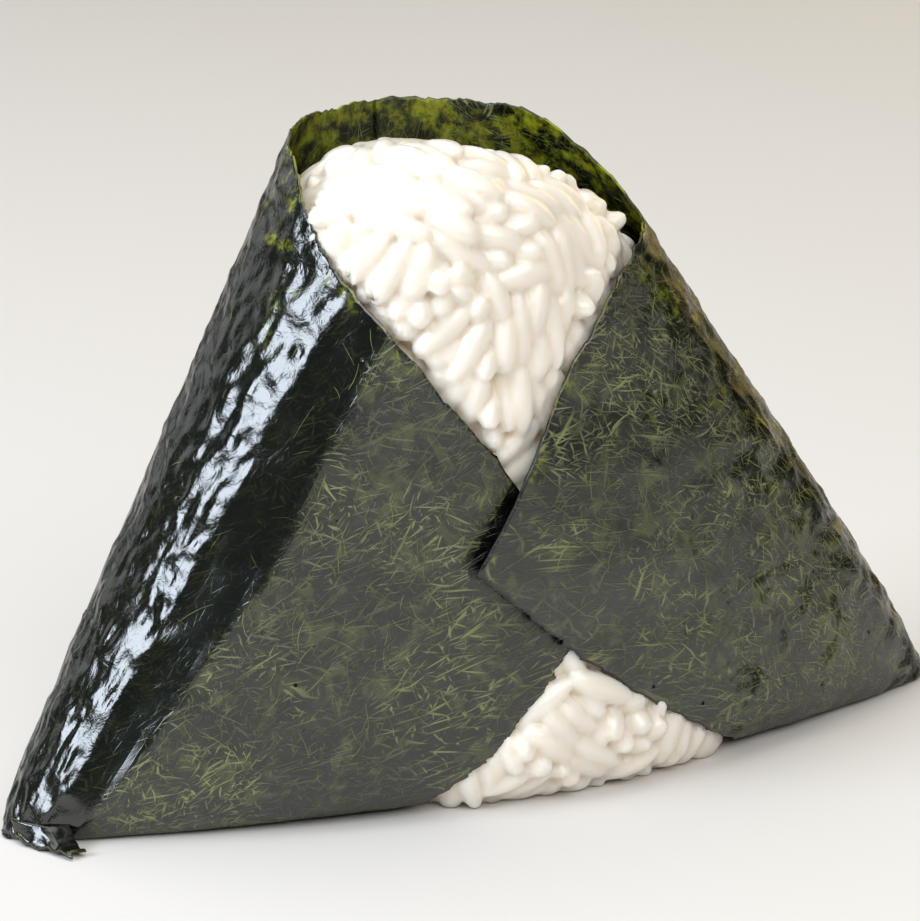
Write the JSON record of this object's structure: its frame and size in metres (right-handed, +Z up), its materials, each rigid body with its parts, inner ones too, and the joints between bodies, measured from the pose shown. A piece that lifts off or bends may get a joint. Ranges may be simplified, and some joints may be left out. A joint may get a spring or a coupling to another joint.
{
  "type": "onigiri rice ball",
  "caption": "Pressed rice ball wrapped in one sheet of nori whose two ends cross over its front like a kimono, leaving the top bare.",
  "frame": {"origin": "middle of the base outline, on the surface the ball stands on", "axes": "+X along the long base, -Y towards the crossed front of the wrap, +Z up"},
  "size_m": [0.1147, 0.0374, 0.0719],
  "materials": {
    "rice": "moist, softly translucent grains, white above and cream below",
    "nori": "dry crinkled sheet, near black green with fine lighter fibres and a satin sheen"
  },
  "bodies": {
    "root": {"rice_ball": "rice", "nori_wrap": "nori"}
  },
  "joints": []
}
